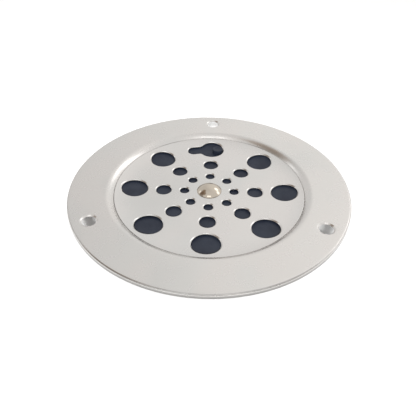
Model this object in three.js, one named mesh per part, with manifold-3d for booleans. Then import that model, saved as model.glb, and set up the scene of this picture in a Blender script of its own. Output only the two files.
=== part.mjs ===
// Round rotary floor drain grate: a stamped stainless frame ring, a perforated drop-in grate disc
// and a plastic shutter disc that turns on a central rivet under it. Millimetres, +Z up.
// The origin is on the drain's axis, at the bottom of the frame's collar. The keyhole is on +Y.
import * as THREE from 'three';
import { mergeVertices } from 'three/addons/utils/BufferGeometryUtils.js';
import Module from 'manifold-3d';

const wasm = await Module();
wasm.setup();

const DEGREE = Math.PI / 180;
const RUNNING_GAP = 0.3;
const TURN_SEGMENTS = 64;
const ARC_STEPS = 4;
const CUT_MARGIN = 5;

// Heights above the collar's bottom edge
const PLATE_CENTRE_Z = 10;
const LIP_BOTTOM_Z = 13.3;
const LEDGE_Z = 10.8;
const SHOULDER_BOTTOM_Z = 12.1;
const FLANGE_INNER_Z = 14.82;
const FLANGE_OUTER_Z = 15.7;

// Frame ring
const SHEET = 0.8;
const FRAME_RADIUS = 75;
const LIP_CORNER = 0.9;
const FLANGE_INNER_RADIUS = 56;
const WALL_RADIUS = 52;
const SHOULDER_POWER = 2.3;
const SHOULDER_STEPS = 6;
const LEDGE_FILLET = 0.5;
const LEDGE_CORNER = 0.9;
const COLLAR_RADIUS = 50;
const SCREW_COUNT = 3;
const SCREW_PITCH_RADIUS = 66.2;
const SCREW_HOLE_RADIUS = 3.5;
const SCREW_SINK_RADIUS = 4.2;
const SCREW_SINK_DEPTH = 0.55;

// Grate plate: flat in the middle and curving smoothly up to its edge
const PLATE_RADIUS = 51.4;
const DISH_RISE = 2.25;
const DISH_POWER = 7;
const DISH_STATIONS = [25, 33, 38, 42, 45.5, 48.6];
const PIVOT_HOLE_RADIUS = 2.8;

// Three rings of holes on the same rays
const RAY_COUNT = 8;
const HOLE_RINGS = [
  { pitchRadius: 41.4, holeRadius: 7.2, segments: 28 },
  { pitchRadius: 25.3, holeRadius: 4.2, segments: 20 },
  { pitchRadius: 13.7, holeRadius: 2.5, segments: 14 },
];
const KEYHOLE_RAY = 90 * DEGREE;
const SLOT_HALF_WIDTH = 3.5;
const SHUTTER_TRAVEL = 21 * DEGREE;
const KNOB_REST_OFFSET = -5.2 * DEGREE;
const SLOT_END_OFFSET = KNOB_REST_OFFSET + SHUTTER_TRAVEL;

// Shutter plate
const SHUTTER_RADIUS = 49.6;
const SHUTTER_TOP_DROP = 1.5;
const SHUTTER_THICKNESS = 1.6;
const HUB_RADIUS = 8;
const HUB_TOP_Z = PLATE_CENTRE_Z - SHEET - RUNNING_GAP;
const HUB_BOTTOM_Z = 6;
const KNOB_HOLE_RADIUS = 2.3;

// Knob peg of the shutter
const KNOB_RADIUS = 3.15;
const KNOB_TOP_Z = 11.3;
const KNOB_EDGE = 0.4;
const KNOB_STEM_RADIUS = 2;
const KNOB_FOOT_RADIUS = 3;
const KNOB_FOOT_HEIGHT = 1;

// Rivet stack on the axis
const RIVET_HEAD_RADIUS = 6.8;
const RIVET_HEAD_HEIGHT = 2.7;
const RIVET_SHANK_RADIUS = 2.5;
const RIVET_FOOT_RADIUS = 4.5;
const RIVET_FOOT_HEIGHT = 1.5;
const WASHER_RADIUS = 7;
const WASHER_THICKNESS = 0.8;
const WAVE_RADIUS = 6.5;
const WAVE_THICKNESS = 0.4;
const WAVE_HEIGHT = 0.3;
const WAVE_COUNT = 3;
const WAVE_TOP_Z = HUB_BOTTOM_Z - RUNNING_GAP;
const WASHER_TOP_Z = WAVE_TOP_Z - WAVE_THICKNESS - 2 * WAVE_HEIGHT - RUNNING_GAP;
const RIVET_FOOT_TOP_Z = WASHER_TOP_Z - WASHER_THICKNESS - RUNNING_GAP;

const stainless = new THREE.MeshStandardMaterial({ color: 0xd0cecb, roughness: 0.35, metalness: 1 });
const nickel = new THREE.MeshStandardMaterial({ color: 0xcfc4b2, roughness: 0.12, metalness: 1 });
const springSteel = new THREE.MeshStandardMaterial({ color: 0xa9a8a4, roughness: 0.4, metalness: 1 });
const blackPlastic = new THREE.MeshStandardMaterial({ color: 0x23272f, roughness: 0.5, metalness: 0 });

function point(radius, z) {
  return new THREE.Vector2(radius, z);
}

function arc(centreRadius, centreZ, bendRadius, fromAngle, toAngle, steps = ARC_STEPS) {
  const points = [];
  for (let i = 0; i <= steps; i += 1) {
    const angle = fromAngle + ((toAngle - fromAngle) * i) / steps;
    points.push(point(centreRadius + bendRadius * Math.cos(angle), centreZ + bendRadius * Math.sin(angle)));
  }
  return points;
}

// A sheet's closed section: its skin, and the same line one thickness to the left of it
function sheetSection(skin, thickness) {
  const back = [];
  for (let i = 0; i < skin.length; i += 1) {
    const before = skin[Math.max(i - 1, 0)];
    const after = skin[Math.min(i + 1, skin.length - 1)];
    const along = after.clone().sub(before).normalize();
    back.push(point(skin[i].x - along.y * thickness, skin[i].y + along.x * thickness));
  }
  return [...skin, ...back.reverse(), skin[0].clone()];
}

function turned(profile, segments = TURN_SEGMENTS) {
  const geometry = new THREE.LatheGeometry(profile, segments);
  geometry.rotateX(Math.PI / 2);
  return solid(geometry);
}

function disc(radius, bottomZ, topZ, segments) {
  const geometry = new THREE.CylinderGeometry(radius, radius, topZ - bottomZ, segments);
  geometry.rotateX(Math.PI / 2);
  geometry.translate(0, 0, (bottomZ + topZ) / 2);
  return geometry;
}

// A closed solid that booleans can use, with its faces turned outwards
function solid(geometry) {
  const bare = geometry.clone();
  bare.deleteAttribute('normal');
  bare.deleteAttribute('uv');
  const merged = mergeVertices(bare, 1e-4);
  const corners = merged.attributes.position.array;
  const faces = [];
  let volume = 0;
  for (let i = 0; i < merged.index.count; i += 3) {
    const [a, b, c] = [merged.index.getX(i), merged.index.getX(i + 1), merged.index.getX(i + 2)];
    if (a !== b && b !== c && c !== a) {
      faces.push([a, b, c]);
      const [p, q, r] = [a, b, c].map((k) => new THREE.Vector3().fromArray(corners, 3 * k));
      volume += p.dot(q.cross(r));
    }
  }
  if (volume < 0) {
    faces.forEach((face) => face.reverse());
  }
  return new wasm.Manifold(new wasm.Mesh({
    numProp: 3,
    vertProperties: new Float32Array(corners),
    triVerts: new Uint32Array(faces.flat()),
  }));
}

function named(name, body, material) {
  const source = body.getMesh();
  const geometry = new THREE.BufferGeometry();
  geometry.setAttribute('position', new THREE.BufferAttribute(new Float32Array(source.vertProperties), 3));
  geometry.setIndex(new THREE.BufferAttribute(new Uint32Array(source.triVerts), 1));
  geometry.computeVertexNormals();
  const mesh = new THREE.Mesh(geometry, material);
  mesh.name = name;
  return mesh;
}

function plateZ(radius) {
  return PLATE_CENTRE_Z + DISH_RISE * (radius / PLATE_RADIUS) ** DISH_POWER;
}

// The outer ring's first ray may stay uncut
function cutHoleRings(body, firstRay, firstOuterCut) {
  let result = body;
  for (const ring of HOLE_RINGS) {
    const start = ring === HOLE_RINGS[0] && !firstOuterCut ? 1 : 0;
    for (let i = start; i < RAY_COUNT; i += 1) {
      const angle = firstRay + (i * 2 * Math.PI) / RAY_COUNT;
      const hole = disc(ring.holeRadius, -CUT_MARGIN, FLANGE_OUTER_Z + CUT_MARGIN, ring.segments);
      hole.translate(ring.pitchRadius * Math.cos(angle), ring.pitchRadius * Math.sin(angle), 0);
      result = result.subtract(solid(hole));
    }
  }
  return result;
}

function makeFrameRing() {
  const shoulder = [];
  for (let i = 0; i <= SHOULDER_STEPS; i += 1) {
    const share = i / SHOULDER_STEPS;
    shoulder.push(point(
      FLANGE_INNER_RADIUS - (FLANGE_INNER_RADIUS - WALL_RADIUS) * share,
      FLANGE_INNER_Z - (FLANGE_INNER_Z - SHOULDER_BOTTOM_Z) * share ** SHOULDER_POWER,
    ));
  }
  const skin = [
    point(FRAME_RADIUS, LIP_BOTTOM_Z),
    ...arc(FRAME_RADIUS - LIP_CORNER, FLANGE_OUTER_Z - LIP_CORNER, LIP_CORNER, 0, 90 * DEGREE),
    ...shoulder,
    ...arc(WALL_RADIUS - LEDGE_FILLET, LEDGE_Z + LEDGE_FILLET, LEDGE_FILLET, 0, -90 * DEGREE, 2),
    ...arc(COLLAR_RADIUS + LEDGE_CORNER, LEDGE_Z - LEDGE_CORNER, LEDGE_CORNER, 90 * DEGREE, 180 * DEGREE, 3),
    point(COLLAR_RADIUS, 0),
  ];
  let body = turned(sheetSection(skin, SHEET));
  for (let i = 0; i < SCREW_COUNT; i += 1) {
    const angle = KEYHOLE_RAY + (i * 2 * Math.PI) / SCREW_COUNT;
    const slope = (FLANGE_OUTER_Z - FLANGE_INNER_Z) / (FRAME_RADIUS - LIP_CORNER - FLANGE_INNER_RADIUS);
    const faceZ = FLANGE_INNER_Z + slope * (SCREW_PITCH_RADIUS - FLANGE_INNER_RADIUS);
    const sinkRise = CUT_MARGIN / 2;
    const flare = (SCREW_SINK_RADIUS - SCREW_HOLE_RADIUS) / SCREW_SINK_DEPTH;
    const cutter = new THREE.LatheGeometry([
      point(0, -CUT_MARGIN),
      point(SCREW_HOLE_RADIUS, -CUT_MARGIN),
      point(SCREW_HOLE_RADIUS, -SCREW_SINK_DEPTH),
      point(SCREW_SINK_RADIUS + flare * sinkRise, sinkRise),
      point(0, sinkRise),
    ], 18);
    cutter.rotateX(Math.PI / 2);
    cutter.translate(SCREW_PITCH_RADIUS * Math.cos(angle), SCREW_PITCH_RADIUS * Math.sin(angle), faceZ);
    body = body.subtract(solid(cutter));
  }
  return named('frame_ring', body, stainless);
}

function makeGratePlate() {
  const stations = [PIVOT_HOLE_RADIUS, ...DISH_STATIONS, PLATE_RADIUS];
  const skin = stations.map((radius) => point(radius, plateZ(radius)));
  const plate = turned(sheetSection(skin.reverse(), SHEET));
  const ring = HOLE_RINGS[0];
  const slotStart = KEYHOLE_RAY;
  const slotEnd = KEYHOLE_RAY + SLOT_END_OFFSET;
  const outline = new THREE.Shape();
  outline.absarc(0, 0, ring.pitchRadius + SLOT_HALF_WIDTH, slotStart, slotEnd, false);
  outline.absarc(
    ring.pitchRadius * Math.cos(slotEnd),
    ring.pitchRadius * Math.sin(slotEnd),
    SLOT_HALF_WIDTH, slotEnd, slotEnd + Math.PI, false,
  );
  outline.absarc(0, 0, ring.pitchRadius - SLOT_HALF_WIDTH, slotEnd, slotStart, true);
  const slot = new THREE.ExtrudeGeometry(outline, {
    depth: FLANGE_OUTER_Z + CUT_MARGIN,
    bevelEnabled: false,
    curveSegments: 12,
  });
  return named('grate_plate', cutHoleRings(plate, KEYHOLE_RAY, true).subtract(solid(slot)), stainless);
}

function shutterZ(radius) {
  return plateZ(radius) - SHUTTER_TOP_DROP;
}

function knobAngle() {
  return KEYHOLE_RAY + KNOB_REST_OFFSET;
}

function makeShutterPlate() {
  const stations = [HUB_RADIUS + 0.8, ...DISH_STATIONS, SHUTTER_RADIUS];
  const top = stations.map((radius) => point(radius, shutterZ(radius)));
  const bottom = stations.map((radius) => point(radius, shutterZ(radius) - SHUTTER_THICKNESS));
  const profile = [
    point(PIVOT_HOLE_RADIUS, HUB_TOP_Z),
    point(HUB_RADIUS, HUB_TOP_Z),
    ...top,
    ...bottom.reverse(),
    point(HUB_RADIUS, HUB_BOTTOM_Z),
    point(PIVOT_HOLE_RADIUS, HUB_BOTTOM_Z),
    point(PIVOT_HOLE_RADIUS, HUB_TOP_Z),
  ];
  // No outer window under the slot, where only plastic shows
  const windows = cutHoleRings(turned(profile), KEYHOLE_RAY + Math.PI / RAY_COUNT, false);
  const knobHole = disc(KNOB_HOLE_RADIUS, 0, FLANGE_OUTER_Z, 20);
  const pitch = HOLE_RINGS[0].pitchRadius;
  knobHole.translate(pitch * Math.cos(knobAngle()), pitch * Math.sin(knobAngle()), 0);
  return named('shutter_plate', windows.subtract(solid(knobHole)), blackPlastic);
}

function makeShutterKnob() {
  const pitch = HOLE_RINGS[0].pitchRadius;
  const seatZ = shutterZ(pitch + KNOB_RADIUS) + RUNNING_GAP;
  const footZ = shutterZ(pitch - KNOB_FOOT_RADIUS) - SHUTTER_THICKNESS - RUNNING_GAP;
  const profile = [
    point(0, footZ - KNOB_FOOT_HEIGHT),
    point(KNOB_STEM_RADIUS, footZ - KNOB_FOOT_HEIGHT),
    point(KNOB_FOOT_RADIUS, footZ),
    point(KNOB_STEM_RADIUS, footZ),
    point(KNOB_STEM_RADIUS, seatZ),
    point(KNOB_RADIUS, seatZ),
    point(KNOB_RADIUS, KNOB_TOP_Z - KNOB_EDGE),
    point(KNOB_RADIUS - KNOB_EDGE, KNOB_TOP_Z),
    point(0, KNOB_TOP_Z),
  ];
  const peg = turned(profile, 24);
  const knob = peg.translate([pitch * Math.cos(knobAngle()), pitch * Math.sin(knobAngle()), 0]);
  return named('shutter_knob', knob, blackPlastic);
}

function makePivotRivet() {
  const headBase = PLATE_CENTRE_Z + RUNNING_GAP;
  const domeRadius = (RIVET_HEAD_RADIUS ** 2 + RIVET_HEAD_HEIGHT ** 2) / (2 * RIVET_HEAD_HEIGHT);
  const domeCentreZ = headBase + RIVET_HEAD_HEIGHT - domeRadius;
  const domeEdge = Math.asin((headBase - domeCentreZ) / domeRadius);
  const footBottom = RIVET_FOOT_TOP_Z - RIVET_FOOT_HEIGHT;
  const dome = arc(0, domeCentreZ, domeRadius, domeEdge, 90 * DEGREE, 7);
  dome[dome.length - 1].x = 0;
  const profile = [
    point(0, footBottom),
    point(RIVET_FOOT_RADIUS * 0.75, footBottom),
    point(RIVET_FOOT_RADIUS, footBottom + RIVET_FOOT_HEIGHT / 2),
    point(RIVET_FOOT_RADIUS, RIVET_FOOT_TOP_Z),
    point(RIVET_SHANK_RADIUS, RIVET_FOOT_TOP_Z),
    point(RIVET_SHANK_RADIUS, headBase),
    ...dome,
  ];
  return named('pivot_rivet', turned(profile, 32), nickel);
}

function makeRivetWasher() {
  const section = [
    point(PIVOT_HOLE_RADIUS, WASHER_TOP_Z - WASHER_THICKNESS),
    point(WASHER_RADIUS, WASHER_TOP_Z - WASHER_THICKNESS),
    point(WASHER_RADIUS, WASHER_TOP_Z),
    point(PIVOT_HOLE_RADIUS, WASHER_TOP_Z),
    point(PIVOT_HOLE_RADIUS, WASHER_TOP_Z - WASHER_THICKNESS),
  ];
  return named('rivet_washer', turned(section, 32), springSteel);
}

function makeWaveWasher() {
  const bottom = WAVE_TOP_Z - WAVE_HEIGHT - WAVE_THICKNESS;
  const section = [
    point(PIVOT_HOLE_RADIUS, bottom),
    point(WAVE_RADIUS, bottom),
    point(WAVE_RADIUS, bottom + WAVE_THICKNESS),
    point(PIVOT_HOLE_RADIUS, bottom + WAVE_THICKNESS),
    point(PIVOT_HOLE_RADIUS, bottom),
  ];
  const geometry = new THREE.LatheGeometry(section, 36);
  geometry.rotateX(Math.PI / 2);
  const corners = geometry.attributes.position;
  for (let i = 0; i < corners.count; i += 1) {
    const angle = Math.atan2(corners.getY(i), corners.getX(i));
    corners.setZ(i, corners.getZ(i) + WAVE_HEIGHT * Math.cos(WAVE_COUNT * angle));
  }
  return named('wave_washer', solid(geometry), springSteel);
}

const group = new THREE.Group();
group.name = 'floor_drain_grate';
group.add(
  makeFrameRing(),
  makeGratePlate(),
  makePivotRivet(),
  makeShutterPlate(),
  makeShutterKnob(),
  makeWaveWasher(),
  makeRivetWasher(),
);

export default group;
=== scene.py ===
import math

import bmesh
import bpy
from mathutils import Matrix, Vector, geometry


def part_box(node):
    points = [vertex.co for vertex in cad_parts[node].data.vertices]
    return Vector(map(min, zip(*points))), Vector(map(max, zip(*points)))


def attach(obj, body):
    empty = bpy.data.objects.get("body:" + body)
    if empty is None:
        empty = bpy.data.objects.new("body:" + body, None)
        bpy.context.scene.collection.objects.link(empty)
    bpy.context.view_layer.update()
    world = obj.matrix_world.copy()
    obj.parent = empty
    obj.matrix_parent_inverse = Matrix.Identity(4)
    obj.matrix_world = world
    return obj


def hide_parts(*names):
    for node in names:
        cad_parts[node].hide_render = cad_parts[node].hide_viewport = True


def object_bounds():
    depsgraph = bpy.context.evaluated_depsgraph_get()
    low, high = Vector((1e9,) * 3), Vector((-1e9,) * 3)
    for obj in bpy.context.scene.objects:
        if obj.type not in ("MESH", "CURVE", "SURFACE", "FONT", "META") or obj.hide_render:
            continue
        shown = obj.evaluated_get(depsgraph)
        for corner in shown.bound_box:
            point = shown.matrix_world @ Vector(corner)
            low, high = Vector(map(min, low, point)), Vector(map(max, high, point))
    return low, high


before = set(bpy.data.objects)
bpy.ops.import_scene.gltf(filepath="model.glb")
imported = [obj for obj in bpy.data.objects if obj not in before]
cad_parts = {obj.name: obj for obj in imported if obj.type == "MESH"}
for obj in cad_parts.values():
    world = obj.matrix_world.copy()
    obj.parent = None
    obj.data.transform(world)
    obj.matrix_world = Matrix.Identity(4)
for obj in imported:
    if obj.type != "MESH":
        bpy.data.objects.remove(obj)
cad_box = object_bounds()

MM = 0.001
TURN = 2 * math.pi


def low(node, axis):
    """A CAD node's lowest place along an axis, in millimetres."""
    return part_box(node)[0][axis] / MM


def high(node, axis):
    """A CAD node's highest place along an axis, in millimetres."""
    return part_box(node)[1][axis] / MM


# ---------- sizes ----------

# All are in millimetres, in the CAD model's frame. Names that end in _Z, _TOP or _BOTTOM are heights.

SHEET = 0.8

# Frame ring, from the lip inwards
FRAME_RADIUS = high("frame_ring", 0)
FRAME_TOP = high("frame_ring", 2)
COLLAR_BOTTOM = low("frame_ring", 2)
LIP_BOTTOM = COLLAR_BOTTOM + 13.3
LIP_CORNER = 0.9
FLANGE_INNER_Z = 14.82
FLANGE_INNER_RADIUS = 56.0
SHOULDER_BOTTOM_Z = 12.2
SHOULDER_POWER = 1.9
WALL_RADIUS = 51.66
LEDGE_Z = 10.8
LEDGE_FILLET = 0.5
LEDGE_CORNER = 0.9
COLLAR_RADIUS = 50.0
SCREWS = 3
SCREW_PITCH_RADIUS = 66.2
SCREW_HOLE_RADIUS = 3.5
SCREW_SINK_RADIUS = 4.2

# Grate plate. A ring of holes is (pitch radius, hole radius, segments), from the outside in.
PLATE_Z = 10.0
PLATE_RADIUS = 51.4
DISH_RISE = 2.25
DISH_POWER = 7
PIVOT_HOLE = 2.8
HOLE_RINGS = ((41.4, 7.2, 72), (25.3, 4.2, 48), (13.7, 2.5, 36))
RAYS = 8
HOLE_RIM_WIDTH = 0.68
HOLE_RIM_DEPTH = 0.43

# Keyhole. The knob's and the slot's angles are measured from the keyhole's ray.
KEYHOLE_RAY = math.radians(90)
OPEN_DEGREES = 21.0
KNOB_DEGREES = 5.2
KNOB_OFFSET = math.radians(-KNOB_DEGREES)
SLOT_END = math.radians(OPEN_DEGREES - KNOB_DEGREES)
SLOT_HALF_WIDTH = 3.5
KEYHOLE_BLEND = 1.2

# Shutter
SHUTTER_RADIUS = high("shutter_plate", 0)
SHUTTER_DROP = 1.5
SHUTTER_THICKNESS = 1.6
HUB_RADIUS = 8.0
HUB_BOTTOM = 6.0
HUB_GAP = 0.3
HUB_TOP = PLATE_Z - SHEET - HUB_GAP

# Knob
KNOB_RADIUS = 3.15
KNOB_STEM_RADIUS = 2.02
KNOB_FOOT_RADIUS = 3.0
KNOB_FOOT_HEIGHT = 1.0

# Rivet
RIVET_BRIM = 0.16
SHANK_RADIUS = 2.5
CLENCH_RADIUS = 4.5
CLENCH_HEIGHT = 1.5

# Wave washer
WAVES = 3
WAVE_HEIGHT = 0.29

# Mesh density: segments round a circle, and the distance between a skin's points
WIDE_SEGMENTS = 288
RIVET_SEGMENTS = 128
WAVE_SEGMENTS = 120
WASHER_SEGMENTS = 96
HUB_SEGMENTS = 72
KNOB_SEGMENTS = 64
PIVOT_SEGMENTS = 40
SCREW_SEGMENTS = 56
KEYHOLE_SEGMENTS = 132
FRAME_SPACING = 2.2
PLATE_SPACING = 1.7
SHUTTER_SPACING = 2.0


def plate_z(radius):
    """The height of the grate's upper skin, flat in the middle and dished up towards its edge."""
    return PLATE_Z + DISH_RISE * (radius / PLATE_RADIUS) ** DISH_POWER


def shutter_z(radius):
    """The height of the shutter's upper skin, which follows the grate's."""
    return plate_z(radius) - SHUTTER_DROP


def flange_z(radius):
    """The height of the flange's upper skin, which rises evenly to the lip."""
    share = (radius - FLANGE_INNER_RADIUS) / (FRAME_RADIUS - LIP_CORNER - FLANGE_INNER_RADIUS)
    return FLANGE_INNER_Z + (FRAME_TOP - FLANGE_INNER_Z) * share


# ---------- outlines ----------

QUARTER_TURN = [math.radians(30 * k) for k in range(4)]
SIDE_SHARE = 0.45       # the most of a side that one corner's rounding takes up


def arc(centre_r, centre_z, bend, start, end, steps):
    """Points on an arc of radius bend, from one angle to another, in degrees."""
    points = []
    for i in range(steps + 1):
        angle = math.radians(start + (end - start) * i / steps)
        points.append((centre_r + bend * math.cos(angle), centre_z + bend * math.sin(angle)))
    return points


def rounded(corners, bend, steps=3, closed=True):
    """The (r, z) outline through these corners, with each corner rounded by up to bend."""
    outline = []
    count = len(corners)
    for i, corner in enumerate(corners):
        if not closed and i in (0, count - 1):
            outline.append(corner)
            continue
        here = Vector(corner)
        back = Vector(corners[i - 1]) - here
        ahead = Vector(corners[(i + 1) % count]) - here
        reach = min(bend, back.length * SIDE_SHARE, ahead.length * SIDE_SHARE)
        start = here + back.normalized() * reach
        end = here + ahead.normalized() * reach
        for k in range(steps + 1):
            t = k / steps
            p = start * (1 - t) ** 2 + here * 2 * t * (1 - t) + end * t ** 2
            outline.append((p.x, p.y))
    return outline


def hem(skin, thickness, edge=0.16):
    """A sheet's outline past its worked area: out along the skin, round its cut edge and back underneath.

    The sheet's material is on the left of the skin's direction of travel when thickness is positive.
    """
    normals = []
    for i in range(len(skin)):
        before = Vector(skin[max(i - 1, 0)])
        after = Vector(skin[min(i + 1, len(skin) - 1)])
        along = (after - before).normalized()
        normals.append(Vector((-along.y, along.x)) * math.copysign(1, thickness))
    depth = abs(thickness)
    last = Vector(skin[-1])
    along = (last - Vector(skin[-2])).normalized()
    inward = normals[-1]
    cut = []
    for a in QUARTER_TURN:
        p = last - along * edge * (1 - math.sin(a)) + inward * edge * (1 - math.cos(a))
        cut.append((p.x, p.y))
    for a in QUARTER_TURN:
        p = last - along * edge * (1 - math.cos(a)) + inward * (depth - edge * (1 - math.sin(a)))
        cut.append((p.x, p.y))
    back = [tuple(Vector(p) + n * depth) for p, n in zip(skin[:-1], normals[:-1])]
    return list(skin[1:-1]) + cut + back[::-1][:-1]


def circle_loop(x, y, radius, count):
    """A circle's points in plan, each with the direction that points out of the circle."""
    loop = []
    for i in range(count):
        a = TURN * i / count
        point = (x + radius * math.cos(a), y + radius * math.sin(a))
        loop.append((point, (math.cos(a), math.sin(a))))
    return loop


def keyhole_distance(x, y):
    """How far outside the keyhole's edge a point is, with a small fillet where the slot meets the hole."""
    pitch, radius, _ = HOLE_RINGS[0]
    in_circle = math.hypot(x - pitch * math.cos(KEYHOLE_RAY), y - pitch * math.sin(KEYHOLE_RAY)) - radius
    angle = (math.atan2(y, x) - KEYHOLE_RAY + math.pi) % TURN - math.pi
    nearest = KEYHOLE_RAY + min(max(angle, 0.0), SLOT_END)
    in_slot = math.hypot(x - pitch * math.cos(nearest), y - pitch * math.sin(nearest)) - SLOT_HALF_WIDTH
    share = max(KEYHOLE_BLEND - abs(in_circle - in_slot), 0) / KEYHOLE_BLEND
    return min(in_circle, in_slot) - share * share * KEYHOLE_BLEND / 4


def keyhole_edge(rays=1440, near_start=2.0, far_start=22.0, halvings=36):
    """Points on the keyhole's edge, found along rays from the middle of its round part."""
    pitch = HOLE_RINGS[0][0]
    cx, cy = pitch * math.cos(KEYHOLE_RAY), pitch * math.sin(KEYHOLE_RAY)
    edge = []
    for i in range(rays):
        a = TURN * i / rays
        near, far = near_start, far_start
        for _ in range(halvings):
            middle = (near + far) / 2
            if keyhole_distance(cx + middle * math.cos(a), cy + middle * math.sin(a)) > 0:
                far = middle
            else:
                near = middle
        edge.append((cx + near * math.cos(a), cy + near * math.sin(a)))
    return edge


def keyhole_loop(count=KEYHOLE_SEGMENTS, step=1e-3):
    """The keyhole's points at even distances, each with the direction that points out of it."""
    edge = keyhole_edge()
    lengths = [math.dist(p, edge[(i + 1) % len(edge)]) for i, p in enumerate(edge)]
    total = sum(lengths)
    loop = []
    walked, k = 0.0, 0
    for i in range(count):
        goal = total * i / count
        while walked + lengths[k] < goal:
            walked += lengths[k]
            k += 1
        t = (goal - walked) / lengths[k]
        a, b = edge[k], edge[(k + 1) % len(edge)]
        x, y = a[0] + (b[0] - a[0]) * t, a[1] + (b[1] - a[1]) * t
        nx = keyhole_distance(x + step, y) - keyhole_distance(x - step, y)
        ny = keyhole_distance(x, y + step) - keyhole_distance(x, y - step)
        size = math.hypot(nx, ny)
        loop.append(((x, y), (nx / size, ny / size)))
    return loop


def inside_polygon(x, y, polygon):
    """Whether a point lies inside a polygon, by counting the edges to its right."""
    inside = False
    for i in range(len(polygon)):
        (x1, y1), (x2, y2) = polygon[i - 1], polygon[i]
        if (y1 > y) != (y2 > y) and x < (x2 - x1) * (y - y1) / (y2 - y1) + x1:
            inside = not inside
    return inside


class Hole:
    """A hole's edge loop in plan, and its wall as (offset into the sheet, drop below the skin) pairs."""

    def __init__(self, loop, wall):
        self.loop = loop
        self.wall = wall
        xs = [p[0] for p, _ in loop]
        ys = [p[1] for p, _ in loop]
        self.centre = (sum(xs) / len(xs), sum(ys) / len(ys))
        self.reach = max(math.dist(self.centre, p) for p, _ in loop)

    def points(self, offset):
        return [(p[0] + n[0] * offset, p[1] + n[1] * offset) for p, n in self.loop]

    def covers(self, x, y, offset):
        if math.dist(self.centre, (x, y)) > self.reach + offset:
            return False
        return inside_polygon(x, y, self.points(offset))


# The rolled-in upper edge of a hole, as shares of its width and of its depth
ROLLED_RIM = (
    (1, 0), (0.86, 0.04), (0.7, 0.17), (0.5, 0.42),
    (0.3, 0.67), (0.14, 0.84), (0.04, 0.95), (0, 1.2),
)


def plain_wall(thickness, width, depth, support=0.16, lower=0.08):
    """A straight hole wall with a rolled-in upper edge, width wide and depth deep, and a small lower one.

    support is how far past each edge the skin has one more loop, which keeps the edge crisp.
    """
    wall = [(width + support, 0.0)]
    for across, down in ROLLED_RIM:
        wall.append((width * across, depth * down))
    for a in QUARTER_TURN:
        wall.append((lower * (1 - math.cos(a)), thickness - lower * (1 - math.sin(a))))
    wall.append((lower + support, thickness))
    return wall


def countersunk_wall():
    """A screw hole's wall: a softened rim, a cone and a short bore with a small lower edge."""
    sink = SCREW_SINK_RADIUS - SCREW_HOLE_RADIUS
    rim = ((0.28, 0.0), (0.1, 0.015), (0.02, 0.06), (-0.06, 0.14))
    cone = ((0.34, 0.44), (0.12, 0.54))
    bore = [(0.02, 0.62), (0.0, 0.68), (0.02, 0.76), (0.1, SHEET), (0.3, SHEET)]
    wall = [(sink + past, depth) for past, depth in rim]
    wall += [(sink * share, depth) for share, depth in cone]
    return wall + bore


def ray_holes(first_ray, wall):
    """All the ray holes but the outer one on the first ray."""
    holes = []
    for pitch, radius, count in HOLE_RINGS:
        for i in range(RAYS):
            if i == 0 and pitch == HOLE_RINGS[0][0]:
                continue
            a = first_ray + TURN * i / RAYS
            loop = circle_loop(pitch * math.cos(a), pitch * math.sin(a), radius, count)
            holes.append(Hole(loop, wall))
    return holes


# ---------- meshes ----------

ON_AXIS = 1e-6          # a point nearer the axis than this is on it, in millimetres
MERGE_DISTANCE = 1e-8   # vertices nearer than this become one, in metres


class Builder:
    """Collects vertices in millimetres and faces, and makes one closed mesh object of them."""

    def __init__(self):
        self.verts = []
        self.faces = []

    def add(self, x, y, z):
        self.verts.append((x, y, z))
        return len(self.verts) - 1

    def ring(self, radius, z, count):
        return [self.add(x, y, z) for (x, y), _ in circle_loop(0, 0, radius, count)]

    def bridge(self, one, two):
        """Faces between two rings of as many vertices."""
        count = len(one)
        for i in range(count):
            j = (i + 1) % count
            self.faces.append((one[i], one[j], two[j], two[i]))

    def bridge_all(self, rings):
        for one, two in zip(rings, rings[1:]):
            self.bridge(one, two)

    def cap(self, ring, z):
        """Closes a ring with a fan of faces round a vertex on the axis."""
        centre = self.add(0, 0, z)
        count = len(ring)
        for i in range(count):
            self.faces.append((ring[i], ring[(i + 1) % count], centre))

    def turned(self, outline, count):
        """A closed ring solid, or one closed on the axis where the outline starts and ends there."""
        on_axis = outline[0][0] < ON_AXIS
        body = outline[1:-1] if on_axis else outline
        rings = [self.ring(r, z, count) for r, z in body]
        self.bridge_all(rings)
        if on_axis:
            self.cap(rings[0], outline[0][1])
            self.cap(rings[-1], outline[-1][1])
        else:
            self.bridge(rings[-1], rings[0])

    def finish(self, name, body, nodes, shift=(0, 0, 0)):
        """The mesh object, in metres, on its body and standing for its CAD nodes."""
        mesh = bpy.data.meshes.new(name)
        mesh.from_pydata([Vector(v) * MM + Vector(shift) * MM for v in self.verts], [], self.faces)
        work = bmesh.new()
        work.from_mesh(mesh)
        bmesh.ops.remove_doubles(work, verts=work.verts, dist=MERGE_DISTANCE)
        bmesh.ops.recalc_face_normals(work, faces=work.faces)
        work.to_mesh(mesh)
        work.free()
        mesh.shade_smooth()
        piece = bpy.data.objects.new(name, mesh)
        bpy.context.scene.collection.objects.link(piece)
        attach(piece, body)
        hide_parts(*nodes)
        return piece


ROW_SHARE = 0.866       # the height of an equilateral triangle whose side is 1
MARGIN_SHARE = 0.62     # how near an edge loop a skin's point may lie, as a share of the spacing
JOIN_DISTANCE = 1e-5    # points that are nearer than this become one
ALL_TRIANGLES = 0       # what the triangulation returns: every triangle, inside a hole or not


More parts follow.
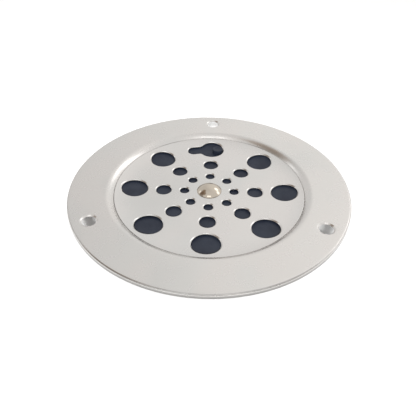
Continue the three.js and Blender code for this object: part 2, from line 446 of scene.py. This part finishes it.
def skin_faces(builder, z_of, inner, outer, holes, which, spacing, drop):
    """One skin of a sheet between two circles, triangulated round its holes.

    inner and outer are (radius, segments). which is the place in each hole's wall where this skin meets it.
    Returns the inner ring, the outer ring and the holes' rings.
    """
    points, ids, edges = [], [], []

    def add_loop(loop):
        start = len(points)
        for x, y in loop:
            points.append(Vector((x, y)))
            ids.append(builder.add(x, y, z_of(math.hypot(x, y)) - drop))
        count = len(loop)
        for i in range(count):
            edges.append((start + i, start + (i + 1) % count))
        return ids[start:]

    outer_ring = add_loop([p for p, _ in circle_loop(0, 0, *outer)])
    inner_ring = add_loop([p for p, _ in circle_loop(0, 0, *inner)])
    hole_rings = []
    for hole in holes:
        hole_rings.append(add_loop(hole.points(hole.wall[which][0])))

    margin = spacing * MARGIN_SHARE
    rows = int(outer[0] / (spacing * ROW_SHARE)) + 1
    for row in range(-rows, rows + 1):
        y = row * spacing * ROW_SHARE
        for column in range(-rows - 2, rows + 3):
            x = (column + 0.5 * (row % 2)) * spacing
            radius = math.hypot(x, y)
            if not inner[0] + margin < radius < outer[0] - margin:
                continue
            if any(hole.covers(x, y, hole.wall[which][0] + margin) for hole in holes):
                continue
            points.append(Vector((x, y)))
            ids.append(builder.add(x, y, z_of(radius) - drop))

    found = geometry.delaunay_2d_cdt(points, edges, [], ALL_TRIANGLES, JOIN_DISTANCE)
    verts, _, faces, origins, _, _ = found
    for face in faces:
        x = sum(verts[i].x for i in face) / len(face)
        y = sum(verts[i].y for i in face) / len(face)
        if math.hypot(x, y) < inner[0]:
            continue
        if any(hole.covers(x, y, hole.wall[which][0]) for hole in holes):
            continue
        builder.faces.append(tuple(ids[origins[i][0]] for i in face))
    return inner_ring, outer_ring, hole_rings


def worked_sheet(builder, z_of, thickness, inner, outer, holes, spacing):
    """A sheet with holes between two circles.

    inner and outer are (radius, segments, path), where path is the (r, z) outline that joins the upper
    skin's edge to the lower skin's edge.
    """
    top = skin_faces(builder, z_of, inner[:2], outer[:2], holes, 0, spacing, 0.0)
    bottom = skin_faces(builder, z_of, inner[:2], outer[:2], holes, -1, spacing, thickness)
    for side, (_, count, path) in enumerate((inner, outer)):
        rings = [top[side]]
        rings += [builder.ring(r, z, count) for r, z in path]
        rings.append(bottom[side])
        builder.bridge_all(rings)
    for hole, first, last in zip(holes, top[2], bottom[2]):
        rings = [first]
        for offset, depth in hole.wall[1:-1]:
            loop = hole.points(offset)
            rings.append([builder.add(x, y, z_of(math.hypot(x, y)) - depth) for x, y in loop])
        rings.append(last)
        builder.bridge_all(rings)


# ---------- frame ring ----------


def make_frame_ring():
    inner_radius, outer_radius = 58.6, 72.9
    inner_stops = (inner_radius, 57.8, 57.0)
    outer_stops = (outer_radius, 73.4)
    lip_stops = (0.9, 0.4, 0.0)
    collar_stops = (6.0, 3.0, 0.6, COLLAR_BOTTOM)
    shoulder_steps = 14
    wall_support = 0.3

    # Outwards: over the lip's corner and down its side
    outer_skin = [(radius, flange_z(radius)) for radius in outer_stops]
    outer_skin += arc(FRAME_RADIUS - LIP_CORNER, FRAME_TOP - LIP_CORNER, LIP_CORNER, 90, 0, 8)
    outer_skin += [(FRAME_RADIUS, LIP_BOTTOM + above) for above in lip_stops]

    # Inwards: down the shoulder and the recess wall, over the ledge and down the collar
    inner_skin = [(radius, flange_z(radius)) for radius in inner_stops]
    for i in range(shoulder_steps + 1):
        share = i / shoulder_steps
        inner_skin.append((
            FLANGE_INNER_RADIUS - (FLANGE_INNER_RADIUS - WALL_RADIUS) * share,
            FLANGE_INNER_Z - (FLANGE_INNER_Z - SHOULDER_BOTTOM_Z) * share ** SHOULDER_POWER,
        ))
    inner_skin.append((WALL_RADIUS, SHOULDER_BOTTOM_Z - wall_support))
    inner_skin += arc(WALL_RADIUS - LEDGE_FILLET, LEDGE_Z + LEDGE_FILLET, LEDGE_FILLET, 0, -90, 4)
    inner_skin += arc(COLLAR_RADIUS + LEDGE_CORNER, LEDGE_Z - LEDGE_CORNER, LEDGE_CORNER, 90, 180, 6)
    inner_skin += [(COLLAR_RADIUS, z) for z in collar_stops]

    holes = []
    for i in range(SCREWS):
        a = KEYHOLE_RAY + TURN * i / SCREWS
        x, y = SCREW_PITCH_RADIUS * math.cos(a), SCREW_PITCH_RADIUS * math.sin(a)
        holes.append(Hole(circle_loop(x, y, SCREW_HOLE_RADIUS, SCREW_SEGMENTS), countersunk_wall()))
    builder = Builder()
    worked_sheet(
        builder, flange_z, SHEET,
        (inner_radius, WIDE_SEGMENTS, hem(inner_skin, SHEET)),
        (outer_radius, WIDE_SEGMENTS, hem(outer_skin, -SHEET)),
        holes, FRAME_SPACING,
    )
    return builder.finish("frame_ring_sheet", "frame", ["frame_ring"])


# ---------- grate plate ----------


def make_grate_plate():
    outer_radius = 49.7
    edge_steps = 8
    edge_bend = 0.06
    edge_inset = 0.02
    pivot_edge = 0.2

    edge = high("grate_plate", 0) - edge_inset
    top, bottom = plate_z(PLATE_RADIUS), plate_z(PLATE_RADIUS) - SHEET
    upper, lower = [], []
    for i in range(1, edge_steps):
        radius = outer_radius + (PLATE_RADIUS - outer_radius) * i / edge_steps
        upper.append((radius, plate_z(radius)))
        lower.append((radius, plate_z(radius) - SHEET))
    corners = [(PLATE_RADIUS, top), (edge, top), (edge, bottom), (PLATE_RADIUS, bottom)]
    cut = rounded(corners, edge_bend, closed=False)

    pivot_top = plate_z(PIVOT_HOLE)
    pivot = [(PIVOT_HOLE, pivot_top - pivot_edge), (PIVOT_HOLE, pivot_top - SHEET + pivot_edge)]

    wall = plain_wall(SHEET, HOLE_RIM_WIDTH, HOLE_RIM_DEPTH)
    holes = ray_holes(KEYHOLE_RAY, wall)
    holes.append(Hole(keyhole_loop(), wall))
    builder = Builder()
    worked_sheet(
        builder, plate_z, SHEET,
        (PIVOT_HOLE + pivot_edge, PIVOT_SEGMENTS, pivot),
        (outer_radius, WIDE_SEGMENTS, upper + cut + lower[::-1]),
        holes, PLATE_SPACING,
    )
    return builder.finish("grate_plate_sheet", "grate", ["grate_plate"])


# ---------- shutter ----------


def make_shutter_plate():
    inner_radius, outer_radius = 9.4, 49.3
    edge_bend = 0.2
    edge_cut = 0.06
    rim = 0.12
    rim_support = 0.1
    hub_bend = 0.3
    hub_flare_above = 0.5
    hub_flare_below = 0.6

    edge = SHUTTER_RADIUS
    top, bottom = shutter_z(edge), shutter_z(edge) - SHUTTER_THICKNESS
    outer = [
        (edge - edge_bend, top),
        (edge - edge_cut, top - edge_cut),
        (edge, top - edge_bend),
        (edge, top - SHUTTER_THICKNESS / 2),
        (edge, bottom + edge_bend),
        (edge - edge_cut, bottom + edge_cut),
        (edge - edge_bend, bottom),
    ]
    step = shutter_z(inner_radius)
    inner = rounded([
        (inner_radius, step),
        (HUB_RADIUS + hub_flare_above, step),
        (HUB_RADIUS, HUB_TOP),
        (PIVOT_HOLE, HUB_TOP),
        (PIVOT_HOLE, HUB_BOTTOM),
        (HUB_RADIUS, HUB_BOTTOM),
        (HUB_RADIUS + hub_flare_below, step - SHUTTER_THICKNESS),
        (inner_radius, step - SHUTTER_THICKNESS),
    ], hub_bend, closed=False)[1:-1]

    between_rays = KEYHOLE_RAY + TURN / RAYS / 2
    holes = ray_holes(between_rays, plain_wall(SHUTTER_THICKNESS, rim, rim, rim_support))
    builder = Builder()
    worked_sheet(
        builder, shutter_z, SHUTTER_THICKNESS,
        (inner_radius, HUB_SEGMENTS, inner),
        (outer_radius, WIDE_SEGMENTS, outer),
        holes, SHUTTER_SPACING,
    )
    return builder.finish("shutter_disc", "shutter", ["shutter_plate"])


def knob_place():
    """The knob's axis at rest, in the round part of the keyhole, away from the slot."""
    a = KEYHOLE_RAY + KNOB_OFFSET
    pitch = HOLE_RINGS[0][0]
    return pitch * math.cos(a), pitch * math.sin(a), 0


def make_shutter_knob():
    top = high("shutter_knob", 2)
    foot = low("shutter_knob", 2)
    seat_overlap = 0.02
    seat = shutter_z(HOLE_RINGS[0][0]) - seat_overlap
    foot_top = foot + KNOB_FOOT_HEIGHT
    peg_bend = 0.35
    stem_bend = 0.15

    # The shallow hollow in the knob's top, as (radius, depth), out to its flat rim
    hollow = ((0.0, 0.35), (0.9, 0.33), (1.6, 0.22), (2.0, 0.04))
    rim = (2.3, top)
    outline = [(radius, top - depth) for radius, depth in hollow]
    outline.append(rim)
    peg = [rim, (KNOB_RADIUS, top), (KNOB_RADIUS, seat), (KNOB_STEM_RADIUS, seat)]
    outline += rounded(peg, peg_bend, 5, closed=False)[1:]
    stem = [(KNOB_STEM_RADIUS, seat), (KNOB_STEM_RADIUS, foot_top)]
    stem += [(KNOB_FOOT_RADIUS, foot_top), (2.1, foot)]
    outline += rounded(stem, stem_bend, closed=False)[1:]
    outline += [(1.9, foot), (0.0, foot)]

    builder = Builder()
    builder.turned(outline, KNOB_SEGMENTS)
    return builder.finish("shutter_knob_peg", "shutter", ["shutter_knob"], knob_place())


# ---------- rivet stack ----------


def make_pivot_rivet():
    top = high("pivot_rivet", 2)
    foot = low("pivot_rivet", 2)
    radius = high("pivot_rivet", 0)
    seat_gap = 0.01
    dome_steps = 30
    brim_bend = 0.14
    clench_side = 0.6
    clench_bend = 0.3

    # The dome is part of a sphere that reaches the rivet's radius at the top of its brim
    base = plate_z(radius) + seat_gap
    rise = top - base - RIVET_BRIM
    bend = (radius ** 2 + rise ** 2) / (2 * rise)
    centre = top - bend
    edge_angle = math.degrees(math.asin((base + RIVET_BRIM - centre) / bend))
    outline = [(0.0, top)]
    for i in range(1, dome_steps + 1):
        a = math.radians(90 + (edge_angle - 90) * i / dome_steps)
        outline.append((bend * math.cos(a), centre + bend * math.sin(a)))
    brim = [outline[-1], (radius, base), (SHANK_RADIUS, base)]
    outline += rounded(brim, brim_bend, 4, closed=False)[1:]

    # The shank and its clenched foot, which is hollow underneath
    clench_top = foot + CLENCH_HEIGHT
    clench = [(SHANK_RADIUS, base), (SHANK_RADIUS, clench_top), (CLENCH_RADIUS, clench_top)]
    clench += [(CLENCH_RADIUS, foot + clench_side), (3.2, foot), (1.6, foot)]
    outline += rounded(clench, clench_bend, 4, closed=False)[1:]
    hollow = ((1.3, 0.12), (0.9, 0.4), (0.0, 0.5))
    outline += [(r, foot + depth) for r, depth in hollow]

    builder = Builder()
    builder.turned(outline, RIVET_SEGMENTS)
    return builder.finish("pivot_rivet_head", "grate", ["pivot_rivet"])


def washer_corners(radius, bottom, top):
    return [(PIVOT_HOLE, bottom), (radius, bottom), (radius, top), (PIVOT_HOLE, top)]


def make_rivet_washer():
    top, bottom, radius = high("rivet_washer", 2), low("rivet_washer", 2), high("rivet_washer", 0)
    bend = 0.16
    builder = Builder()
    builder.turned(rounded(washer_corners(radius, bottom, top), bend, 4), WASHER_SEGMENTS)
    return builder.finish("rivet_washer_flat", "grate", ["rivet_washer"])


def make_wave_washer():
    top, bottom, radius = high("wave_washer", 2), low("wave_washer", 2), high("wave_washer", 0)
    bend = 0.1
    corners = washer_corners(radius, bottom + WAVE_HEIGHT, top - WAVE_HEIGHT)
    builder = Builder()
    builder.turned(rounded(corners, bend), WAVE_SEGMENTS)
    waved = []
    for x, y, z in builder.verts:
        waved.append((x, y, z + WAVE_HEIGHT * math.cos(WAVES * math.atan2(y, x))))
    builder.verts = waved
    return builder.finish("wave_washer_spring", "grate", ["wave_washer"])


pieces = {
    "frame": make_frame_ring(),
    "plate": make_grate_plate(),
    "shutter": make_shutter_plate(),
    "knob": make_shutter_knob(),
    "rivet": make_pivot_rivet(),
    "washer": make_rivet_washer(),
    "wave": make_wave_washer(),
}


# ---------- materials ----------

# The colour sockets of Blender's Mix node
MIX_ONE, MIX_TWO, MIX_RESULT = 6, 7, 2

# How fine each noise is. A higher scale is a finer noise.
CLOUD_SCALE = 14
TINT_SCALE = 24
WAVY_SCALE = 55
SMUDGE_SCALE = 90
# the noise that breaks up the painted shade lines
SHADE_LINE_NOISE_SCALE = 180
SCRATCH_SCALE = 230
STREAK_SCALE = 420
GRAIN_SCALE = 900
MOULD_SCALE = 2600

# Bump heights and the places of the painted shade lines are in metres
WAVY_HEIGHT = 0.00004
SATIN_HEIGHT = 0.0000003
ROUGH_HEIGHT = 0.000004
MOULD_HEIGHT = 0.00001
# Painted shade lines are drawn only outside this radius
SHADE_LINES_FROM_RADIUS = 0.07


def scaled(colour, factor):
    return tuple(v * factor for v in colour)


class Nodes:
    """A material's node tree, with a short call for each kind of node that it uses."""

    def __init__(self, name):
        self.material = bpy.data.materials.new(name)
        self.material.use_nodes = True
        self.tree = self.material.node_tree
        self.tree.nodes.clear()
        output = self.tree.nodes.new("ShaderNodeOutputMaterial")
        self.shader = self.tree.nodes.new("ShaderNodeBsdfPrincipled")
        self.tree.links.new(self.shader.outputs[0], output.inputs[0])
        self.texture = self.tree.nodes.new("ShaderNodeTexCoord")
        self.coordinates = self.texture.outputs["Object"]

    def link(self, source, target):
        self.tree.links.new(source, target)

    def feed(self, value, socket):
        """Sets a socket to a number or a colour, or links another socket to it."""
        if isinstance(value, tuple):
            socket.default_value = (*value, 1)
        elif isinstance(value, (int, float)):
            socket.default_value = value
        else:
            self.link(value, socket)

    def noise(self, scale, stretch=(1, 1, 1), detail=3.0, roughness=0.55):
        mapping = self.tree.nodes.new("ShaderNodeMapping")
        mapping.inputs["Scale"].default_value = stretch
        self.link(self.coordinates, mapping.inputs[0])
        node = self.tree.nodes.new("ShaderNodeTexNoise")
        node.inputs["Scale"].default_value = scale
        node.inputs["Detail"].default_value = detail
        node.inputs["Roughness"].default_value = roughness
        self.link(mapping.outputs[0], node.inputs["Vector"])
        return node.outputs["Fac"]

    def span(self, source, low_in, high_in, low_out, high_out):
        """Maps one range of values to another."""
        node = self.tree.nodes.new("ShaderNodeMapRange")
        for index, value in enumerate((low_in, high_in, low_out, high_out)):
            node.inputs[1 + index].default_value = value
        self.link(source, node.inputs[0])
        return node.outputs[0]

    def math(self, operation, one, two=0):
        node = self.tree.nodes.new("ShaderNodeMath")
        node.operation = operation
        for socket, value in zip(node.inputs, (one, two)):
            self.feed(value, socket)
        return node.outputs[0]

    def mix(self, factor, one, two):
        node = self.tree.nodes.new("ShaderNodeMix")
        node.data_type = "RGBA"
        self.link(factor, node.inputs[0])
        self.feed(one, node.inputs[MIX_ONE])
        self.feed(two, node.inputs[MIX_TWO])
        return node.outputs[MIX_RESULT]

    def bump(self, height, distance, below=None):
        node = self.tree.nodes.new("ShaderNodeBump")
        node.inputs["Strength"].default_value = 1.0
        node.inputs["Distance"].default_value = distance
        self.link(height, node.inputs["Height"])
        if below is not None:
            self.link(below, node.inputs["Normal"])
        return node.outputs[0]

    def split(self, vector):
        """A vector's x, y and z."""
        node = self.tree.nodes.new("ShaderNodeSeparateXYZ")
        self.link(vector, node.inputs[0])
        return node.outputs

    def radius(self, place):
        squares = self.math("ADD", self.math("POWER", place[0], 2), self.math("POWER", place[1], 2))
        return self.math("SQRT", squares)


def clouded(n, light, dark, grain):
    """The metal's own colour: broad clouds, fine streaks along the grain and a warmer tint in places."""
    broad = n.span(n.noise(CLOUD_SCALE, detail=3.0), 0.34, 0.66, 0.0, 1.0)
    streak = n.span(n.noise(STREAK_SCALE, grain, detail=5.0), 0.3, 0.7, -0.5, 0.5)
    shade = n.math("ADD", broad, n.math("MULTIPLY", streak, 0.1))
    tone = n.mix(shade, dark, light)
    tint = n.span(n.noise(TINT_SCALE, (1.7, 1, 1), detail=2.0), 0.4, 0.62, 0.0, 1.0)
    warm = tuple(v * f for v, f in zip(light, (1.015, 0.99, 0.985)))
    return n.mix(n.math("MULTIPLY", tint, 0.8), tone, warm)


def metal(name, light, dark, rough, grain, grain_height, edge=(0.55, 0.0, 1.0), lines=()):
    """Satin sheet metal, or polished metal where rough is low.

    rough is the lowest and highest roughness. grain is the noise's scale along each axis. edge is painted
    shade
    on steep faces: their tone, as a share of light, and the radii between which they have it. lines are
    dark lines of painted shade outside a set radius, as (radius or height, centre, half width, strength).
    """
    n = Nodes(name)
    n.shader.inputs["Metallic"].default_value = 1.0
    tone = clouded(n, light, dark, grain)
    upright = n.split(n.texture.outputs["Normal"])[2]
    place = n.split(n.coordinates)
    radius = n.radius(place)

    # Painted shade: steep faces between two radii are darkened to a share of the light tone
    steep_shade_tone, edge_from, edge_to = edge
    steep = n.span(n.math("ABSOLUTE", upright), 0.1, 0.35, 1.0, 0.0)
    steep = n.math("MULTIPLY", steep, n.math("GREATER_THAN", radius, edge_from))
    steep = n.math("MULTIPLY", steep, n.math("LESS_THAN", radius, edge_to))
    tone = n.mix(steep, tone, scaled(light, steep_shade_tone))

    # Painted shade: dark lines at given radii or heights, broken up by a noise, outside a set radius
    shade_line_noise = n.span(n.noise(SHADE_LINE_NOISE_SCALE, detail=3.0), 0.3, 0.7, 0.6, 1.0)
    for measure, centre, half, strength in lines:
        distance = n.math("SUBTRACT", radius if measure == "radius" else place[2], centre)
        away = n.math("ABSOLUTE", distance)
        mark = n.math("MULTIPLY", n.span(away, half * 0.5, half, strength, 0.0), shade_line_noise)
        mark = n.math("MULTIPLY", mark, n.math("GREATER_THAN", radius, SHADE_LINES_FROM_RADIUS))
        tone = n.mix(mark, tone, scaled(light, 0.3))

    # Painted shade: faces that look down are darker, which also dims the light they bounce onto the floor
    # below
    under = n.span(upright, -0.6, -0.2, 0.5, 0.0)
    tone = n.mix(under, tone, scaled(dark, 0.2))
    n.link(tone, n.shader.inputs["Base Color"])

    scratches = n.noise(SCRATCH_SCALE, (1, 26, 4), detail=6.0, roughness=0.7)
    scratches = n.span(scratches, 0.64, 0.74, 0.0, 1.0)
    smudges = n.span(n.noise(SMUDGE_SCALE, detail=5.0), 0.3, 0.7, *rough)
    n.link(n.math("ADD", smudges, n.math("MULTIPLY", scratches, 0.015)), n.shader.inputs["Roughness"])
    wavy = n.bump(n.noise(WAVY_SCALE, detail=2.0), WAVY_HEIGHT)
    fine = n.bump(n.noise(GRAIN_SCALE, grain, detail=2.0), grain_height, below=wavy)
    n.link(fine, n.shader.inputs["Normal"])
    return n.material


def plastic(name, dark, light, rough, specular):
    """Moulded plastic with a faint mottle and a fine texture."""
    n = Nodes(name)
    n.shader.inputs["Specular IOR Level"].default_value = specular
    mottle = n.span(n.noise(SMUDGE_SCALE, detail=5.0), 0.35, 0.65, 0.0, 1.0)
    n.link(n.mix(mottle, dark, light), n.shader.inputs["Base Color"])
    n.link(n.span(n.noise(STREAK_SCALE, detail=4.0), 0.3, 0.7, *rough), n.shader.inputs["Roughness"])
    n.link(n.bump(n.noise(MOULD_SCALE, detail=3.0), MOULD_HEIGHT), n.shader.inputs["Normal"])
    return n.material


def dress(material, *names):
    for name in names:
        slots = pieces[name].data.materials
        slots.clear()
        slots.append(material)


dress(metal(
    "satin_stainless",
    light=(0.64, 0.628, 0.61),
    dark=(0.6, 0.59, 0.574),
    rough=(0.24, 0.3),
    grain=(0.1, 1, 1),
    grain_height=SATIN_HEIGHT,
    # Painted shade on the steep faces outside 58 mm: the lip's side and the screw holes
    edge=(0.5, 0.058, 1.0),
    lines=(
        # Painted shade lines: one along the lip's corner and one along its lower edge
        ("radius", 0.0745, 0.0003, 0.45),
        ("height", (LIP_BOTTOM + 0.1) * MM, 0.0008, 0.9),
    ),
), "frame")
dress(metal(
    "satin_grate",
    light=(0.634, 0.624, 0.61),
    dark=(0.598, 0.589, 0.576),
    rough=(0.23, 0.29),
    grain=(1, 0.1, 1),
    grain_height=SATIN_HEIGHT,
    # Painted shade on the steep faces inside 50 mm: the hole walls and their rims
    edge=(0.4, 0.0, 0.05),
), "plate")
dress(metal(
    "polished_nickel",
    light=(0.55, 0.495, 0.425),
    dark=(0.49, 0.435, 0.365),
    rough=(0.06, 0.12),
    grain=(1, 1, 1),
    grain_height=SATIN_HEIGHT,
    edge=(1.0, 0.0, 1.0),
), "rivet")
# The washers take the default painted shade on all their steep faces
dress(metal(
    "plain_steel",
    light=(0.5, 0.5, 0.49),
    dark=(0.42, 0.42, 0.41),
    rough=(0.3, 0.45),
    grain=(1, 0.3, 1),
    grain_height=ROUGH_HEIGHT,
), "washer", "wave")
dress(plastic(
    "dark_moulded_plastic",
    dark=(0.009, 0.0115, 0.02),
    light=(0.016, 0.02, 0.031),
    rough=(0.36, 0.52),
    specular=0.22,
), "shutter", "knob")


# ---------- camera ----------

# Metres and degrees. An azimuth is anticlockwise from the front, seen from above.
CAMERA_AZIMUTH = 1.83
CAMERA_ELEVATION = 40.73
CAMERA_ROLL = 0.67
CAMERA_DISTANCE = 0.20427
CAMERA_TARGET = Vector((-0.0001, -0.01486, PLATE_Z * MM))
CAMERA_NEAR = 0.005

# Millimetres
LENS = 33.64
SENSOR_WIDTH = 36

scene = bpy.context.scene


def direction(azimuth, elevation):
    a, e = math.radians(azimuth), math.radians(elevation)
    return Vector((math.sin(a) * math.cos(e), -math.cos(a) * math.cos(e), math.sin(e)))


def facing(vector):
    """The rotation of a camera or light that looks along a vector."""
    return vector.to_track_quat("-Z", "Y").to_euler()


def make_camera():
    data = bpy.data.cameras.new("camera")
    data.lens = LENS
    data.sensor_width = SENSOR_WIDTH
    data.clip_start = CAMERA_NEAR
    camera = bpy.data.objects.new("camera", data)
    camera.location = CAMERA_TARGET + direction(CAMERA_AZIMUTH, CAMERA_ELEVATION) * CAMERA_DISTANCE
    camera.rotation_mode = "XYZ"
    camera.rotation_euler = facing(CAMERA_TARGET - camera.location)
    camera.rotation_euler.rotate_axis("Z", math.radians(CAMERA_ROLL))
    scene.collection.objects.link(camera)
    scene.camera = camera


make_camera()
scene.view_settings.view_transform = "Standard"


# ---------- floor and light ----------

FLOOR_HALF_WIDTH = 3.0
FLOOR_CELLS = 8
FLOOR_COLOUR = (0.8, 0.8, 0.8)

SKY_COLOUR = (1.0, 0.995, 0.985)

# Soft patches of the studio that the metal mirrors, each laid over the ones before it. A patch is azimuth,
# elevation, the angles from its middle where it starts to fade and where it is gone, and colour.
SKY_PATCHES = (
    # The room behind the drain: a wide duller side, and a brighter side to the right of it
    (205, 40, 5, 60, (0.885, 0.88, 0.872)),
    (150, 35, 5, 45, (1.11, 1.103, 1.085)),
    # Two lamps on the right
    (112, 34, 5, 13, (2.4, 2.4, 2.4)),
    (138, 36, 6, 13, (2.6, 2.6, 2.6)),
    # Brown shade on the left
    (247, 56, 6, 16, (0.4, 0.315, 0.245)),
    (278, 60, 5, 14, (0.42, 0.34, 0.27)),
    (267, 44, 8, 19, (0.27, 0.2, 0.15)),
    (288, 27, 10, 24, (0.42, 0.385, 0.355)),
    # Three small lamps: one on the left and two high in front
    (244, 31, 3, 8, (1.8, 1.8, 1.8)),
    (347, 61, 3, 8, (2.3, 2.3, 2.3)),
    (13, 61, 3, 8, (2.3, 2.3, 2.3)),
    # Grey shade low in front
    (0, 12, 10, 24, (0.35, 0.35, 0.35)),
    (50, 12, 10, 24, (0.26, 0.26, 0.26)),
    (310, 12, 10, 24, (0.35, 0.35, 0.35)),
)


def make_floor():
    """A plain pale floor at the height of the collar's lower edge."""
    mesh = bpy.data.meshes.new("floor")
    work = bmesh.new()
    bmesh.ops.create_grid(work, x_segments=FLOOR_CELLS, y_segments=FLOOR_CELLS, size=FLOOR_HALF_WIDTH)
    work.to_mesh(mesh)
    work.free()
    floor = bpy.data.objects.new("floor", mesh)
    floor.location = (0, 0, cad_box[0][2])
    scene.collection.objects.link(floor)
    n = Nodes("pale_floor")
    n.feed(FLOOR_COLOUR, n.shader.inputs["Base Color"])
    n.feed(0.9, n.shader.inputs["Roughness"])
    n.feed(0.1, n.shader.inputs["Specular IOR Level"])
    floor.data.materials.append(n.material)


def sky_patch(tree, coordinates, sky, azimuth, elevation, core, rim, colour):
    """A patch of colour laid over the sky so far."""
    dot = tree.nodes.new("ShaderNodeVectorMath")
    dot.operation = "DOT_PRODUCT"
    tree.links.new(coordinates, dot.inputs[0])
    dot.inputs[1].default_value = direction(azimuth, elevation)
    share = tree.nodes.new("ShaderNodeMapRange")
    share.interpolation_type = "SMOOTHSTEP"
    share.inputs[1].default_value = math.cos(math.radians(rim))
    share.inputs[2].default_value = math.cos(math.radians(core))
    tree.links.new(dot.outputs["Value"], share.inputs[0])
    mix = tree.nodes.new("ShaderNodeMix")
    mix.data_type = "RGBA"
    tree.links.new(share.outputs[0], mix.inputs[0])
    tree.links.new(sky, mix.inputs[MIX_ONE])
    mix.inputs[MIX_TWO].default_value = (*colour, 1)
    return mix.outputs[MIX_RESULT]


def make_world():
    world = bpy.data.worlds.new("studio")
    scene.world = world
    world.use_nodes = True
    tree = world.node_tree
    tree.nodes.clear()
    output = tree.nodes.new("ShaderNodeOutputWorld")
    background = tree.nodes.new("ShaderNodeBackground")
    tree.links.new(background.outputs[0], output.inputs[0])
    coordinates = tree.nodes.new("ShaderNodeTexCoord").outputs["Generated"]
    plain = tree.nodes.new("ShaderNodeRGB")
    plain.outputs[0].default_value = (*SKY_COLOUR, 1)
    sky = plain.outputs[0]
    for patch in SKY_PATCHES:
        sky = sky_patch(tree, coordinates, sky, *patch)
    tree.links.new(sky, background.inputs[0])


def make_fill_light(azimuth, elevation, distance, size, power):
    """A round soft light in front of the drain, which casts light but isn't mirrored."""
    data = bpy.data.lights.new("fill", "AREA")
    data.shape = "DISK"
    data.size = size
    data.energy = power
    light = bpy.data.objects.new("fill", data)
    light.location = direction(azimuth, elevation) * distance
    light.rotation_euler = facing(-light.location)
    light.visible_glossy = False
    scene.collection.objects.link(light)


make_floor()
make_world()
make_fill_light(azimuth=0, elevation=37, distance=1.2, size=0.18, power=19.0)
